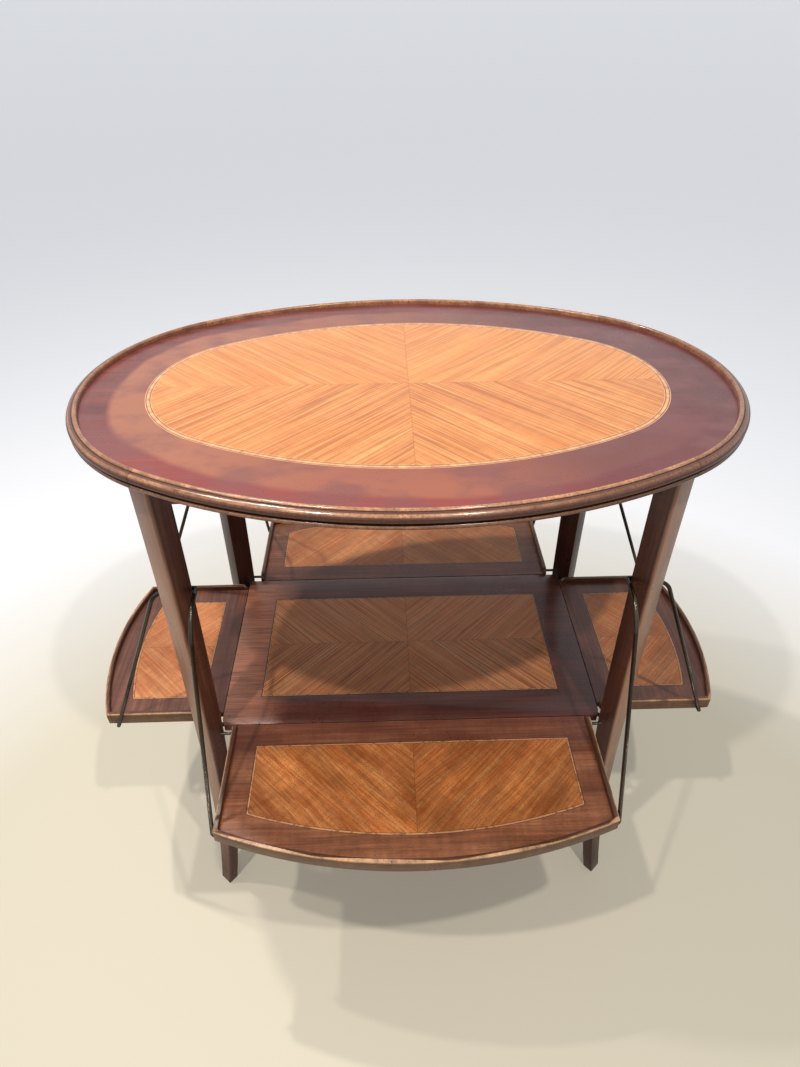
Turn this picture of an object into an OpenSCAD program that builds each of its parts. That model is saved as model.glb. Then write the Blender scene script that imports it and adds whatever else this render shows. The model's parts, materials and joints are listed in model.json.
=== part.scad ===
// Folding tea table: an oval tray top on four splayed legs, and a lower shelf
// with a hinged tray flap on each side, held level by steel wire stays.
// X runs along the oval, Y from front to back, and Z up from the floor.

/* [Top] */
// Length of the oval top over its moulding
top_l = 720; // [690:1:760]
// Width of the oval top over its moulding
top_w = 498; // [480:1:520]
// Radius of the outline round each end of the oval
end_r = 208; // [200:1:214]
// Height of the table over the moulding
height = 747; // [720:1:780]
// Height of the moulding
mould_h = 17; // [16:0.5:20]
// Width of the moulding
mould_w = 12; // [11.5:0.5:14]
// Height that the moulding stands above the tray surface
mould_up = 6; // [4:0.5:8]
// Distance from the outline to the stringing
top_border = 78; // [70:1:90]
// Width of the stringing round the top's inlay
top_string_w = 6.5; // [5:0.5:8]

/* [Legs] */
// How far the top reaches past the legs' centres at its ends
leg_inset_x = 105.1; // [95:0.1:115]
// How far the top reaches past the legs' centres at its front and back
leg_inset_y = 107.3; // [100:0.1:115]
// Angle that each leg is turned, so that it faces its corner
leg_turn = 42; // [40:1:46]
// Width of the leg's outer face at its top
leg_w_top = 30.4; // [28:0.2:31]
// Width of the leg's outer face beside the shelf
leg_w_mid = 28.6; // [27:0.2:29]
// Width of the leg's outer face at the floor
leg_w_foot = 19.4; // [17:0.2:24]
// Depth of the leg at its top
leg_t_top = 24.7; // [24:0.2:26]
// Depth of the leg beside the shelf
leg_t_mid = 23.2; // [22:0.2:24]
// Depth of the leg at the floor
leg_t_foot = 14.9; // [13:0.2:19]
// How far the even splay moves the foot outwards
leg_splay = 19; // [14:0.5:24]
// How far the curved kick near the floor adds to it
leg_kick = 19.5; // [10:0.5:26]

/* [Rails under the top] */
// Height of the rails
rail_h = 38; // [30:1:50]
// Thickness of the rails
rail_t = 16; // [14:1:18]
// Radius of the screw shanks
screw_r = 2; // [1.5:0.25:2.5]
// Radius of the screw heads
screw_head_r = 4; // [3.5:0.25:5]
// Thickness of the screw heads
screw_head_h = 2.5; // [2:0.5:3]
// Distance of each screw from the middle of its rail, as a share of the rail
screw_share = 0.55; // [0.3:0.05:0.7]
// Wood between a screw's head and the top
screw_grip = 18; // [14:1:24]
// How far the screws reach into the top
screw_bite = 7; // [5:0.5:8]

/* [Shelf] */
// Height of the shelf's surface
shelf_z = 332.5; // [320:0.5:345]
// Distance of the shelf's ends inside the legs' centres
shelf_inset_x = 9.2; // [8:0.1:11]
// Distance of the shelf's front and back inside the legs' centres
shelf_inset_y = 3.7; // [3.2:0.1:5]
// Thickness of the shelf
shelf_t = 12; // [11:0.5:13]
// Corner cut of the shelf along X
shelf_cut_x = 3; // [2:0.5:6]
// Corner cut of the shelf along Y
shelf_cut_y = 9; // [6:0.5:12]
// Border of the shelf at its ends
shelf_border_x = 45.6; // [35:0.2:60]
// Border of the shelf at its front and back
shelf_border_y = 43.6; // [35:0.2:60]
// Width of the stringing round the lower inlays
string_w = 3; // [2:0.5:5]
// Radius of the dowels between shelf and legs
dowel_r = 2.5; // [2:0.25:3]
// Distance of the dowels' centres below the shelf's surface
dowel_drop = 7; // [6.5:0.25:8]
// Length of each dowel inside the shelf
dowel_in = 16; // [12:1:24]

/* [Front and back flaps] */
// Distance of the side rims inside the legs' centres
long_inset = 25.4; // [24.5:0.1:28]
// Distance from the hinge edge to the corners
long_depth = 148.8; // [130:0.2:165]
// Rise of the bowed edge
long_bow = 42; // [20:1:60]
// Border beside the hinge
long_border_hinge = 31; // [25:0.5:40]
// Border beside each side rim
long_border_side = 27.5; // [20:0.5:35]
// Border inside the bowed edge
long_border_bow = 35.6; // [28:0.2:45]

/* [Side flaps] */
// Distance of the side rims inside the legs' centres
side_inset = 18.7; // [18:0.1:21]
// Distance from the hinge edge to the corners
side_depth = 149.1; // [130:0.2:165]
// Rise of the bowed edge
side_bow = 22; // [12:1:34]
// Border beside the hinge
side_border_hinge = 28.6; // [22:0.2:40]
// Border beside each side rim
side_border_side = 25; // [18:0.5:30]
// Border inside the bowed edge
side_border_bow = 34; // [28:0.2:45]

/* [Flap trays] */
// Thickness of the flaps' panels
panel_t = 9; // [8:0.5:10]
// Height of the rims and lips
rim_h = 18; // [17:0.5:20]
// Thickness of the rims and lips
rim_t = 5; // [4:0.5:6]
// Height that the rims stand above the panels
rim_up = 7.5; // [6:0.5:9]
// Gap between the shelf and each flap
flap_gap = 1.2; // [1:0.1:1.6]
// Thickness of the veneer inlays
veneer_t = 0.6; // [0.5:0.1:1]

/* [Hinge pins] */
// Radius of the hinge pins
pin_r = 2; // [1.5:0.25:2.25]
// Distance of the hinge pins outside the shelf's edges
pin_out = 12; // [11:0.1:13]
// Length of each hinge pin inside its leg
pin_in = 13; // [10:0.5:13.5]

/* [Wire stays] */
// Radius of the wire
wire_r = 2.4; // [2:0.1:2.5]
// Height of the front and back stays' pivots
long_stay_z = 574; // [566:1:590]
// Height of the side stays' pivots
side_stay_z = 557; // [550:1:580]
// Distance of the front and back stays' pivots inside the legs' centres
long_stay_in = 1.7; // [1:0.1:3]
// Distance of the front and back stays' wires outside the flaps' rims
long_stay_gap = 4; // [3.5:0.1:4.1]
// How far the front and back stays step outwards beside the pivot
long_jog = 42; // [38:0.5:46]
// Radius of the bend after that step
long_bend = 50; // [30:1:52]
// Distance of the side stays' pivots outside the legs' centres
side_stay_out = 11.1; // [11:0.1:12]
// Distance of the side stays' wires outside the flaps' rims
side_stay_gap = 4.5; // [4:0.1:4.6]
// How far the side stays step outwards beside the pivot
side_jog = 20; // [18:0.5:23]
// Radius of the bend after that step
side_bend = 22; // [14:0.5:23]
// Radius of the bend at the pivot
pivot_bend = 2.75; // [2.6:0.05:3]
// Radius of the bend at the hook
hook_bend = 4; // [3:0.25:4.5]
// Distance of each hook from the flap's corner
hook_back = 7; // [6:0.5:12]
// Further distance of the side flaps' hooks from the corner
side_hook_back = 12.5; // [9:0.5:16]
// Length of the hook under the flap's rim
hook_l = 11; // [10:0.5:12]
// Depth of the groove in the rim that the hook lies in
groove_t = 1; // [0.5:0.1:1.5]
// Length of each pivot inside its leg
pivot_in = 10; // [8:0.5:11]

/* [Fits] */
// Radial clearance of pins, pivots and dowels in their holes
fit = 0.05; // [0.02:0.01:0.08]
// Clearance between a hook and its groove
hook_gap = 0.3; // [0.3:0.05:0.5]
// Glue line along a curved edge
glue = 0.05; // [0.03:0.01:0.1]

/* [Hidden] */
$fn = 128;

mahogany = [0.42, 0.24, 0.20];
dark_mahogany = [0.30, 0.17, 0.14];
satinwood = [0.86, 0.58, 0.33];
boxwood = [0.88, 0.72, 0.52];
black_steel = [0.20, 0.20, 0.20];
bright_steel = [0.75, 0.74, 0.70];

// The oval is four arcs: two round the ends and two along the sides
half_l = top_l / 2;
half_w = top_w / 2;
side_r = (half_l ^ 2 + half_w ^ 2 - 2 * half_l * end_r) / (2 * (half_w - end_r));
end_c = half_l - end_r;
side_c = side_r - half_w;
joint_a = atan2(side_c, end_c);

// The moulding's parts, as heights above its underside and depths from the outline
bead_r = 2.5;
lip_h = 4.6;
lip_set = 0.8;
groove_top = 7.6;
groove_deep = 4;
ovolo_r = 6;
ovolo_z = 9.3;
ovolo_set = 0.3;

top_under = height - mould_h;
top_t = mould_h - mould_up;
tray_z = top_under + top_t;
rail_z = top_under - rail_h;

// The legs stand in from the oval, and all below the top is placed from them
leg_x = half_l - leg_inset_x;
leg_y = half_w - leg_inset_y;
leg_steps = 24;
oval_steps = 40;

shelf_l = 2 * (leg_x - shelf_inset_x);
shelf_w = 2 * (leg_y - shelf_inset_y);
long_pin = shelf_w / 2 + pin_out;
side_pin = shelf_l / 2 + pin_out;
long_half = leg_x - long_inset;
side_half = leg_y - side_inset;
long_corner = shelf_w / 2 + flap_gap + long_depth;
side_corner = shelf_l / 2 + flap_gap + side_depth;
long_stay_x = long_half + long_stay_gap;
long_stay_y = leg_y - long_stay_in;
side_stay_x = leg_x + side_stay_out;
side_stay_y = side_half + side_stay_gap;

// The wire swells by a hair where it is bent, and its runs reach into the bends
bend_swell = 0.04;
bend_lap = 0.3;

// Room past the end of each stay's pivot, and from each hinge pin's end to the
// inner face of its rim
pivot_play = 0.6;
pin_set = 0.3;

// Rims, pins and hooks all follow the height of the shelf's surface
rim_top = shelf_z + rim_up;
rim_z = rim_top - rim_h;
pin_z = rim_z + rim_h / 2;
dowel_z = shelf_z - dowel_drop;
hook_z = rim_z + groove_t - wire_r;

// Each kind of flap: half length, hinge edge, corner, reach, pin line, and the
// borders at its hinge, its sides and its bowed edge
long_flap = [
  long_half, shelf_w / 2 + flap_gap, long_corner, long_corner + long_bow, long_pin,
  long_border_hinge, long_border_side, long_border_bow
];
side_flap = [
  side_half, shelf_l / 2 + flap_gap, side_corner, side_corner + side_bow, side_pin,
  side_border_hinge, side_border_side, side_border_bow
];

// Each kind of stay: pivot line, wire plane, step, bend, the hook's line, and
// the pivot's height
long_stay = [
  long_stay_y, long_stay_x, long_jog, long_bend, long_corner - hook_back, long_stay_z
];
side_stay = [
  side_stay_x, side_stay_y, side_jog, side_bend, side_corner - side_hook_back, side_stay_z
];

// Radius of the arc of a flap's bowed edge
function bow_r(f) = (f[0] ^ 2 + (f[3] - f[2]) ^ 2) / (2 * (f[3] - f[2]));

// The leg at a height: how far down it is, its centre line, and its section
function down(z) = 1 - z / top_under;
function splay(z) = leg_splay * down(z) ^ 2 + leg_kick * down(z) ^ 6;
function taper(z, top, mid, foot) =
  z > shelf_z
    ? mid + (top - mid) * (z - shelf_z) / (top_under - shelf_z)
    : foot + (mid - foot) * z / shelf_z;
function leg_w(z) = taper(z, leg_w_top, leg_w_mid, leg_w_foot);
function leg_t(z) = taper(z, leg_t_top, leg_t_mid, leg_t_foot);
function leg_cx(z) = leg_x + splay(z) * sin(leg_turn);
function leg_cy(z) = leg_y + splay(z) * cos(leg_turn);

// Where a line along X or along Y, coming from the middle, meets the leg
function face_x(y, z) = leg_cx(z) + max(
  (-leg_w(z) / 2 + (y - leg_cy(z)) * sin(leg_turn)) / cos(leg_turn),
  (-leg_t(z) / 2 - (y - leg_cy(z)) * cos(leg_turn)) / sin(leg_turn)
);
function face_y(x, z) = leg_cy(z) + max(
  (-leg_w(z) / 2 + (x - leg_cx(z)) * cos(leg_turn)) / sin(leg_turn),
  (-leg_t(z) / 2 - (x - leg_cx(z)) * sin(leg_turn)) / cos(leg_turn)
);

// Places a shape at the leg of one corner: sx and sy are 1 or -1
module at_corner(sx, sy) {
  mirror([sx < 0 ? 1 : 0, 0, 0])
    mirror([0, sy < 0 ? 1 : 0, 0])
      children();
}

// Places a flap drawn at the back on another side, by an angle about Z
module on_side(angle) {
  rotate([0, 0, angle])
    children();
}

// A cylinder along X from a start point
module rod_x(x, y, z, r, length) {
  translate([x, y, z])
    rotate([0, 90, 0])
      cylinder(r = r, h = length);
}

// A cylinder along Y from a start point
module rod_y(x, y, z, r, length) {
  translate([x, y, z])
    rotate([-90, 0, 0])
      cylinder(r = r, h = length);
}

// Points along an arc, without its last one
function arc(x, y, r, from, to) = [
  for (i = [0:oval_steps - 1])
    let (a = from + (to - from) * i / oval_steps)
      [x + r * cos(a), y + r * sin(a)]
];

// The oval outline, drawn inwards by a distance
module oval(inset) {
  end = end_r - inset;
  side = side_r - inset;
  polygon(concat(
    arc(end_c, 0, end, -joint_a, joint_a),
    arc(0, -side_c, side, joint_a, 180 - joint_a),
    arc(-end_c, 0, end, 180 - joint_a, 180 + joint_a),
    arc(0, side_c, side, 180 + joint_a, 360 - joint_a)
  ));
}

// Section of the moulding: a bead, a rounded side, a groove and a lower lip.
// Its outermost point lies on x = 0
module mould_section() {
  back = -mould_w;
  translate([back, 0])
    square([2 * bead_r, mould_h - bead_r]);
  translate([back + bead_r, mould_h - bead_r])
    circle(bead_r);
  translate([back, 0])
    square([mould_w - groove_deep, ovolo_z]);
  intersection() {
    translate([-ovolo_r - ovolo_set, ovolo_z])
      circle(ovolo_r);
    translate([back, groove_top])
      square([mould_w, mould_h]);
  }
  translate([back, 0])
    square([mould_w - lip_set - lip_h / 2, lip_h]);
  translate([-lip_set - lip_h / 2, lip_h / 2])
    circle(lip_h / 2);
}

module mould_long() {
  translate([0, -side_c, top_under])
    rotate([0, 0, joint_a])
      rotate_extrude(angle = 180 - 2 * joint_a)
        translate([side_r, 0])
          mould_section();
}

module mould_end() {
  translate([end_c, 0, top_under])
    rotate([0, 0, -joint_a])
      rotate_extrude(angle = 2 * joint_a)
        translate([end_r, 0])
          mould_section();
}

// Places a screw or its hole at both screws of each rail
module at_screws() {
  for (sx = [-1, 1], sy = [-1, 1]) {
    translate([sx * leg_x * screw_share, sy * leg_y, 0])
      children();
    translate([sx * leg_x, sy * leg_y * screw_share, 0])
      children();
  }
}

module screw_holes() {
  at_screws() {
    translate([0, 0, rail_z])
      cylinder(r = screw_r + fit, h = rail_h + screw_bite);
    translate([0, 0, rail_z])
      cylinder(r = screw_head_r + fit, h = rail_h - screw_grip);
  }
}

module top_panel() {
  color(mahogany)
    difference() {
      translate([0, 0, top_under])
        linear_extrude(top_t)
          oval(mould_w + glue);
      translate([0, 0, tray_z - veneer_t])
        linear_extrude(top_t)
          oval(top_border);
      screw_holes();
    }
}

module top_field() {
  color(satinwood)
    translate([0, 0, tray_z - veneer_t])
      linear_extrude(veneer_t)
        oval(top_border + top_string_w + glue);
}

module top_string() {
  color(boxwood)
    translate([0, 0, tray_z - veneer_t])
      linear_extrude(veneer_t)
        difference() {
          oval(top_border + glue);
          oval(top_border + top_string_w);
        }
}

module top_mould_front() {
  color(mahogany)
    on_side(180)
      mould_long();
}

module top_mould_back() {
  color(mahogany)
    mould_long();
}

module top_mould_left() {
  color(mahogany)
    on_side(180)
      mould_end();
}

module top_mould_right() {
  color(mahogany)
    mould_end();
}

// A leg's outline seen along its face, from one side of its section to the other
module leg_side() {
  levels = [for (i = [0:leg_steps]) top_under * i / leg_steps];
  rotate([90, 0, 90])
    linear_extrude(2 * leg_w_top, center = true)
      polygon(concat(
        [for (z = levels) [splay(z) + leg_t(z) / 2, z]],
        [for (i = [leg_steps:-1:0]) [splay(levels[i]) - leg_t(levels[i]) / 2, levels[i]]]
      ));
}

module leg_front() {
  rotate([90, 0, 0])
    linear_extrude(4 * (leg_splay + leg_kick + leg_t_top), center = true)
      polygon([
        [-leg_w_foot / 2, 0], [leg_w_foot / 2, 0],
        [leg_w_mid / 2, shelf_z], [leg_w_top / 2, top_under],
        [-leg_w_top / 2, top_under], [-leg_w_mid / 2, shelf_z]
      ]);
}

// The plain leg of the corner where x and y are positive
module leg_shape() {
  translate([leg_x, leg_y, 0])
    rotate([0, 0, -leg_turn])
      intersection() {
        leg_side();
        leg_front();
      }
}

// The dowel of that corner, from the leg's centre line towards the shelf
module dowel(r) {
  shelf_corner = (shelf_l / 2 - leg_cx(dowel_z)) * sin(leg_turn)
    + (shelf_w / 2 - leg_cy(dowel_z)) * cos(leg_turn);
  translate([leg_cx(dowel_z), leg_cy(dowel_z), dowel_z])
    rotate([0, 0, -leg_turn])
      rotate([90, 0, 0])
        cylinder(r = r, h = dowel_in - shelf_corner);
}

// A leg with its holes for the hinge pins, the stays' pivots and the dowel
module leg() {
  color(dark_mahogany)
    difference() {
      leg_shape();
      rod_x(long_half, long_pin, pin_z, pin_r + fit,
            face_x(long_pin, pin_z) + pin_in - long_half);
      rod_y(side_pin, side_half, pin_z, pin_r + fit,
            face_y(side_pin, pin_z) + pin_in - side_half);
      rod_x(long_stay_x, long_stay_y, long_stay_z, wire_r + fit,
            face_x(long_stay_y, long_stay_z) + pivot_in + pivot_play - long_stay_x);
      rod_y(side_stay_x, side_stay_y, side_stay_z, wire_r + fit,
            face_y(side_stay_x, side_stay_z) + pivot_in + pivot_play - side_stay_y);
      dowel(dowel_r + fit);
    }
}

module leg_front_left() {
  at_corner(-1, -1)
    leg();
}

module leg_front_right() {
  at_corner(1, -1)
    leg();
}

module leg_back_left() {
  at_corner(-1, 1)
    leg();
}

module leg_back_right() {
  at_corner(1, 1)
    leg();
}

// A rail along X at the back, let in between its two legs
module rail_long() {
  color(dark_mahogany)
    difference() {
      translate([-leg_x, leg_y - rail_t / 2, rail_z])
        cube([2 * leg_x, rail_t, rail_h]);
      at_corner(1, 1)
        leg_shape();
      at_corner(-1, 1)
        leg_shape();
      screw_holes();
    }
}

// A rail along Y on the right, let in between its two legs
module rail_short() {
  color(dark_mahogany)
    difference() {
      translate([leg_x - rail_t / 2, -leg_y, rail_z])
        cube([rail_t, 2 * leg_y, rail_h]);
      at_corner(1, 1)
        leg_shape();
      at_corner(1, -1)
        leg_shape();
      screw_holes();
    }
}

module rail_front() {
  on_side(180)
    rail_long();
}

module rail_back() {
  rail_long();
}

module rail_left() {
  on_side(180)
    rail_short();
}

module rail_right() {
  rail_short();
}

module rail_screws() {
  head_z = top_under - screw_grip - screw_head_h;
  color(bright_steel)
    at_screws() {
      translate([0, 0, head_z])
        cylinder(r = screw_head_r, h = screw_head_h);
      translate([0, 0, head_z])
        cylinder(r = screw_r, h = screw_head_h + screw_grip + screw_bite);
    }
}

// The shelf's inlay, drawn inwards by a distance
module shelf_inlay(inset) {
  square([shelf_l - 2 * (shelf_border_x + inset),
          shelf_w - 2 * (shelf_border_y + inset)], center = true);
}

module shelf_panel() {
  x = shelf_l / 2;
  y = shelf_w / 2;
  color(mahogany)
    difference() {
      translate([0, 0, shelf_z - shelf_t])
        linear_extrude(shelf_t)
          polygon([
            [x - shelf_cut_x, -y], [x, shelf_cut_y - y],
            [x, y - shelf_cut_y], [x - shelf_cut_x, y],
            [shelf_cut_x - x, y], [-x, y - shelf_cut_y],
            [-x, shelf_cut_y - y], [shelf_cut_x - x, -y]
          ]);
      translate([0, 0, shelf_z - veneer_t])
        linear_extrude(shelf_t)
          shelf_inlay(0);
      for (sx = [-1, 1], sy = [-1, 1])
        at_corner(sx, sy)
          dowel(dowel_r + fit);
    }
}

module shelf_field() {
  color(satinwood)
    translate([0, 0, shelf_z - veneer_t])
      linear_extrude(veneer_t)
        shelf_inlay(string_w);
}

module shelf_string() {
  color(boxwood)
    translate([0, 0, shelf_z - veneer_t])
      linear_extrude(veneer_t)
        difference() {
          shelf_inlay(0);
          shelf_inlay(string_w);
        }
}

module shelf_dowels() {
  color(black_steel)
    for (sx = [-1, 1], sy = [-1, 1])
      at_corner(sx, sy)
        dowel(dowel_r);
}

// A flap's two hinge pins, from its rims into the legs' faces
module hinge_pins(f, face) {
  start = f[0] - rim_t + pin_set;
  color(bright_steel)
    for (s = [0, 1])
      mirror([s, 0, 0])
        rod_x(start, f[4], pin_z, pin_r, face + pin_in - start);
}

module hinge_pins_front() {
  on_side(180)
    hinge_pins(long_flap, face_x(long_pin, pin_z));
}

module hinge_pins_back() {
  hinge_pins(long_flap, face_x(long_pin, pin_z));
}

module hinge_pins_left() {
  on_side(90)
    hinge_pins(side_flap, face_y(side_pin, pin_z));
}

module hinge_pins_right() {
  on_side(-90)
    hinge_pins(side_flap, face_y(side_pin, pin_z));
}

// A flap's disc inside its bowed edge, less a distance
module bow_disc(f, inset) {
  translate([0, f[3] - bow_r(f)])
    circle(bow_r(f) - inset);
}

// A flap's inlay, drawn inwards by a distance
module flap_inlay(f, inset) {
  half = f[0] - rim_t - f[6] - inset;
  near = f[1] + f[5] + inset;
  intersection() {
    translate([-half, near])
      square([2 * half, f[3] - near]);
    translate([0, -f[7]])
      bow_disc(f, inset);
  }
}

module flap_panel(f) {
  half = f[0] - rim_t;
  color(mahogany)
    difference() {
      translate([0, 0, shelf_z - panel_t])
        linear_extrude(panel_t)
          intersection() {
            translate([-half, f[1]])
              square([2 * half, f[3] - f[1]]);
            bow_disc(f, rim_t + glue);
          }
      translate([0, 0, shelf_z - veneer_t])
        linear_extrude(panel_t)
          flap_inlay(f, 0);
    }
}

module flap_field(f) {
  color(satinwood)
    translate([0, 0, shelf_z - veneer_t])
      linear_extrude(veneer_t)
        flap_inlay(f, string_w + glue);
}

module flap_string(f) {
  color(boxwood)
    translate([0, 0, shelf_z - veneer_t])
      linear_extrude(veneer_t)
        difference() {
          flap_inlay(f, glue);
          flap_inlay(f, string_w);
        }
}

// The grooves that the two hooks of a flap lie in
module hook_grooves(f, stay) {
  rod_x(-f[0] - hook_l, stay[4], hook_z, wire_r + hook_gap, 2 * (f[0] + hook_l));
}

module flap_lip(f, stay) {
  color(mahogany)
    difference() {
      translate([0, 0, rim_z])
        linear_extrude(rim_h)
          intersection() {
            difference() {
              bow_disc(f, 0);
              bow_disc(f, rim_t);
            }
            translate([-f[0], f[1]])
              square([2 * f[0], f[3]]);
          }
      hook_grooves(f, stay);
    }
}

// The flap's side rim where x is positive, round about its hinge pin
module flap_rim(f, stay) {
  color(mahogany)
    difference() {
      intersection() {
        translate([f[0] - rim_t, 0, 0])
          rotate([90, 0, 90])
            linear_extrude(rim_t) {
              translate([f[4], pin_z])
                circle(rim_h / 2);
              translate([f[4], rim_z])
                square([f[3] - f[4], rim_h]);
            }
        translate([0, 0, rim_z])
          linear_extrude(rim_h)
            bow_disc(f, rim_t + glue);
      }
      rod_x(f[0] - 2 * rim_t, f[4], pin_z, pin_r + fit, 3 * rim_t);
      hook_grooves(f, stay);
    }
}

// A straight run of wire and the bend after it. Both start along Z, the bend
// turns towards X, and what follows is drawn on from its end
module wire(length, r, turn) {
  translate([0, 0, -bend_lap])
    cylinder(r = wire_r, h = length + 2 * bend_lap);
  translate([r, 0, length]) {
    rotate([90, 0, 180])
      rotate_extrude(angle = turn)
        translate([r, 0])
          circle(wire_r + bend_swell);
    rotate([0, turn, 0])
      translate([-r, 0, 0])
        children();
  }
}

// The wire's last run, with a rounded tip
module wire_end(length) {
  translate([0, 0, -bend_lap])
    rotate_extrude() {
      square([wire_r, length + bend_lap - wire_r]);
      translate([0, length + bend_lap - wire_r])
        intersection() {
          circle(wire_r);
          square(2 * wire_r);
        }
    }
}

// A wire stay where x is positive: its pivot comes out of the leg, steps
// outwards, runs down to the flap and turns in under its rim
module stay(s, face) {
  drop = s[5] - hook_z;
  out = s[4] - s[0] - s[2];
  turn = atan2(drop, out);
  step_run = s[3] * tan(turn / 2);
  color(black_steel)
    translate([face + pivot_in, s[0], s[5]])
      rotate([-90, 0, 0])
        rotate([0, -90, 0])
          wire(face + pivot_in - s[1] - pivot_bend, pivot_bend, 90)
            rotate([0, 0, 90])
              wire(s[2] - pivot_bend - step_run, s[3], turn)
                rotate([0, 0, 90])
                  wire(norm([drop, out]) - step_run - hook_bend, hook_bend, 90)
                    wire_end(hook_l - hook_bend);
}

module stay_long() {
  stay(long_stay, face_x(long_stay_y, long_stay_z));
}

module stay_side() {
  stay(side_stay, face_y(side_stay_x, side_stay_z));
}

module flap_front_panel() {
  on_side(180)
    flap_panel(long_flap);
}

module flap_front_field() {
  on_side(180)
    flap_field(long_flap);
}

module flap_front_string() {
  on_side(180)
    flap_string(long_flap);
}

module flap_front_lip() {
  on_side(180)
    flap_lip(long_flap, long_stay);
}

module flap_front_rim_left() {
  on_side(180)
    flap_rim(long_flap, long_stay);
}

module flap_front_rim_right() {
  on_side(180)
    mirror([1, 0, 0])
      flap_rim(long_flap, long_stay);
}

module flap_back_panel() {
  flap_panel(long_flap);
}

module flap_back_field() {
  flap_field(long_flap);
}

module flap_back_string() {
  flap_string(long_flap);
}

module flap_back_lip() {
  flap_lip(long_flap, long_stay);
}

module flap_back_rim_left() {
  mirror([1, 0, 0])
    flap_rim(long_flap, long_stay);
}

module flap_back_rim_right() {
  flap_rim(long_flap, long_stay);
}

module flap_left_panel() {
  on_side(90)
    flap_panel(side_flap);
}

module flap_left_field() {
  on_side(90)
    flap_field(side_flap);
}

module flap_left_string() {
  on_side(90)
    flap_string(side_flap);
}

module flap_left_lip() {
  on_side(90)
    flap_lip(side_flap, side_stay);
}

module flap_left_rim_front() {
  on_side(90)
    mirror([1, 0, 0])
      flap_rim(side_flap, side_stay);
}

module flap_left_rim_back() {
  on_side(90)
    flap_rim(side_flap, side_stay);
}

module flap_right_panel() {
  on_side(-90)
    flap_panel(side_flap);
}

module flap_right_field() {
  on_side(-90)
    flap_field(side_flap);
}

module flap_right_string() {
  on_side(-90)
    flap_string(side_flap);
}

module flap_right_lip() {
  on_side(-90)
    flap_lip(side_flap, side_stay);
}

module flap_right_rim_front() {
  on_side(-90)
    flap_rim(side_flap, side_stay);
}

module flap_right_rim_back() {
  on_side(-90)
    mirror([1, 0, 0])
      flap_rim(side_flap, side_stay);
}

module stay_front_left() {
  on_side(180)
    stay_long();
}

module stay_front_right() {
  on_side(180)
    mirror([1, 0, 0])
      stay_long();
}

module stay_back_left() {
  mirror([1, 0, 0])
    stay_long();
}

module stay_back_right() {
  stay_long();
}

module stay_left_front() {
  on_side(90)
    mirror([1, 0, 0])
      stay_side();
}

module stay_left_back() {
  on_side(90)
    stay_side();
}

module stay_right_front() {
  on_side(-90)
    stay_side();
}

module stay_right_back() {
  on_side(-90)
    mirror([1, 0, 0])
      stay_side();
}

top_panel();
top_field();
top_string();
top_mould_front();
top_mould_back();
top_mould_left();
top_mould_right();
rail_front();
rail_back();
rail_left();
rail_right();
rail_screws();
leg_front_left();
leg_front_right();
leg_back_left();
leg_back_right();
shelf_panel();
shelf_field();
shelf_string();
shelf_dowels();
hinge_pins_front();
hinge_pins_back();
hinge_pins_left();
hinge_pins_right();
flap_front_panel();
flap_front_field();
flap_front_string();
flap_front_lip();
flap_front_rim_left();
flap_front_rim_right();
flap_back_panel();
flap_back_field();
flap_back_string();
flap_back_lip();
flap_back_rim_left();
flap_back_rim_right();
flap_left_panel();
flap_left_field();
flap_left_string();
flap_left_lip();
flap_left_rim_front();
flap_left_rim_back();
flap_right_panel();
flap_right_field();
flap_right_string();
flap_right_lip();
flap_right_rim_front();
flap_right_rim_back();
stay_front_left();
stay_front_right();
stay_back_left();
stay_back_right();
stay_left_front();
stay_left_back();
stay_right_front();
stay_right_back();
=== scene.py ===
# %% [markdown]
# # A folding tea table
#
# The table has an oval tray top with a quartered satinwood inlay, four splayed mahogany legs, and a lower
# shelf whose four hinged tray flaps are held level by thin steel stays. Its construction comes packed from
# the CAD model, in metres, with X along the oval, Y towards the back and Z up. This script dresses it: it
# models the polished pieces over the construction and gives each wood and metal its finish.

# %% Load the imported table
import json
import math

import bmesh
import bpy
from mathutils import Matrix, Vector


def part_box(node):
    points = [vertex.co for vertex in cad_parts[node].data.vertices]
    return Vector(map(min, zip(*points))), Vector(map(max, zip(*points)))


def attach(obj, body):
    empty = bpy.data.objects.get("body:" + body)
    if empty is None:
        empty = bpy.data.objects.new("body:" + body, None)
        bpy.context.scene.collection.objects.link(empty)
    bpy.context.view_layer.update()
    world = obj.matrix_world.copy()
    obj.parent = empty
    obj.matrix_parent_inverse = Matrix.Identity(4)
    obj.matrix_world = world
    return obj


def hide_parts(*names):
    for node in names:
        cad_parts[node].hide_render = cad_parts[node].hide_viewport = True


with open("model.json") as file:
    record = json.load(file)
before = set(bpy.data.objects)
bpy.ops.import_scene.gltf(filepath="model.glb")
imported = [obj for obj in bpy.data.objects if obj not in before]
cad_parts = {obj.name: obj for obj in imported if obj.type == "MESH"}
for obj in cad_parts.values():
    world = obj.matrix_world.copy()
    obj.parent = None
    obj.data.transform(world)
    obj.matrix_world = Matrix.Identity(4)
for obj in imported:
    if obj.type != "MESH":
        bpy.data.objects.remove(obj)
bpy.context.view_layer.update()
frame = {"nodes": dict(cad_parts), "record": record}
nodes = frame["nodes"]
bpy.ops.object.select_all(action="DESELECT")
MM = 0.001

# %% [markdown]
# ## The camera
#
# The viewer stands in front of the table and looks down on it with a wide lens. The place and direction were
# worked out from the table's own edges, so the camera is set by its place, its forward direction and a small
# roll instead of by eye.

# %% Camera
camera_place = Vector((-0.0286, -0.7034, 1.0870))
camera_forward = Vector((0.0205, 0.7850, -0.6193)).normalized()
camera_roll = -0.0055

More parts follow.
